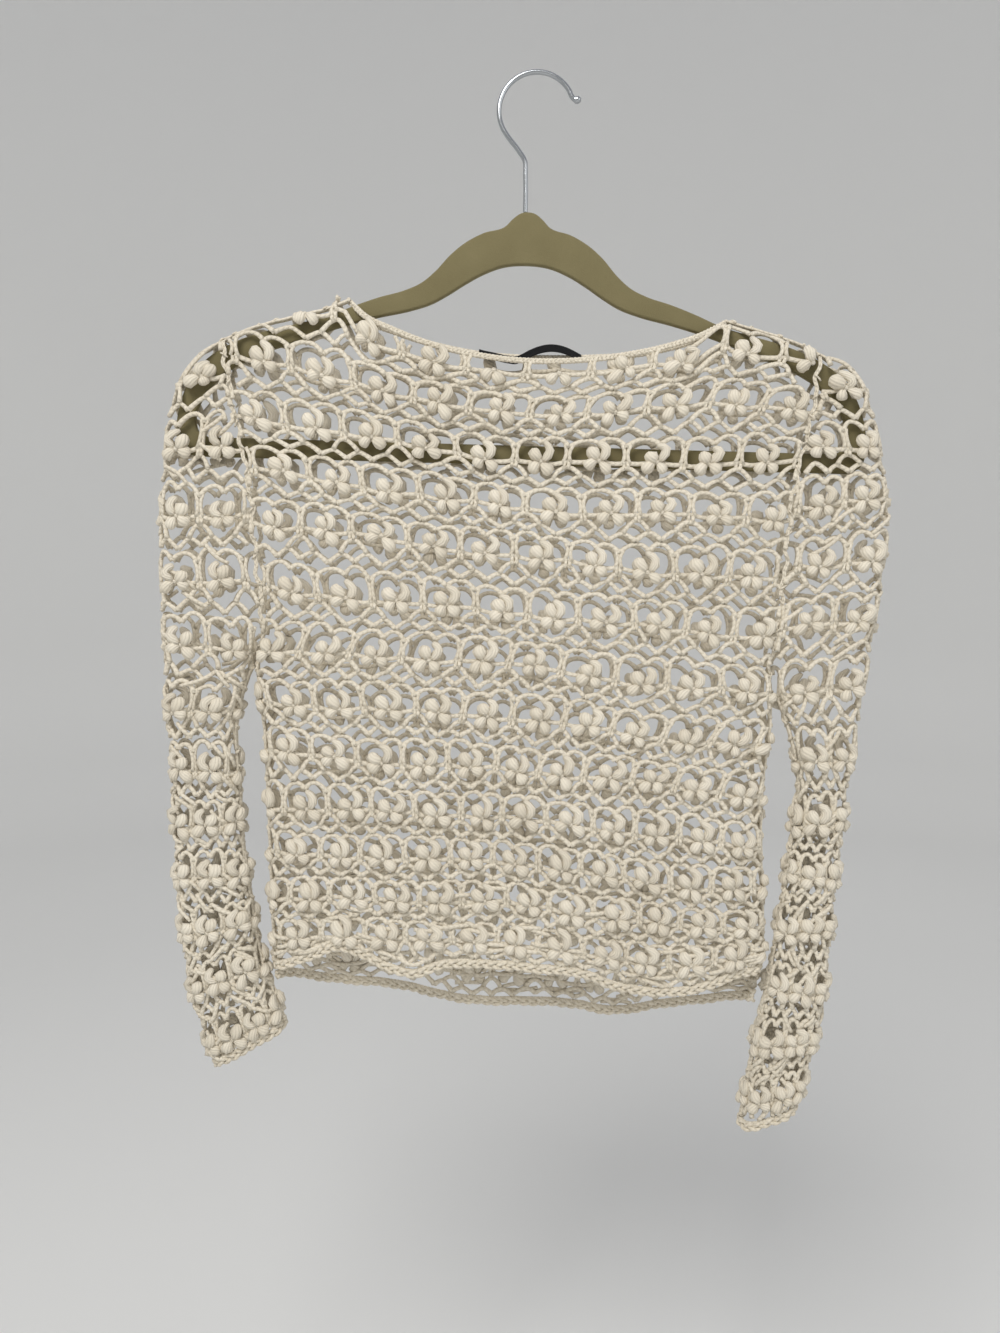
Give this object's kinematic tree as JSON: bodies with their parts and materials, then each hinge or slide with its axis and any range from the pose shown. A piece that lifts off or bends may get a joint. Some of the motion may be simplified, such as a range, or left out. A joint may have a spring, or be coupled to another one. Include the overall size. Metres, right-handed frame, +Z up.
{
  "type": "crochet top on a hanger",
  "caption": "Open-work crochet top with long sleeves and a wide boat neck, hanging flat on a slim flocked hanger with a bent wire hook.",
  "frame": {"origin": "inside of the hook's crown, where the peg or rail carries the hanger", "axes": "+Z up, +X to the right seen from the front of the top, +Y from the front to the back"},
  "size_m": [0.4599, 0.0496, 0.6703],
  "materials": {
    "crochet_yarn": "cream cotton crochet yarn",
    "edging_yarn": "the same yarn, worked close",
    "hanger_flock": "olive velvet flocking on plastic",
    "hook_wire": "polished wire",
    "label_cloth": "plain black woven label"
  },
  "bodies": {
    "root": {"hanger_body": "hanger_flock", "hanger_hook": "hook_wire", "front_panel": "crochet_yarn", "back_panel": "crochet_yarn", "left_sleeve_front": "crochet_yarn", "left_sleeve_back": "crochet_yarn", "right_sleeve_front": "crochet_yarn", "right_sleeve_back": "crochet_yarn", "neck_edging": "edging_yarn", "hem_edging_front": "edging_yarn", "hem_edging_back": "edging_yarn", "left_cuff_edging": "edging_yarn", "right_cuff_edging": "edging_yarn", "neck_label": "label_cloth"}
  },
  "joints": []
}
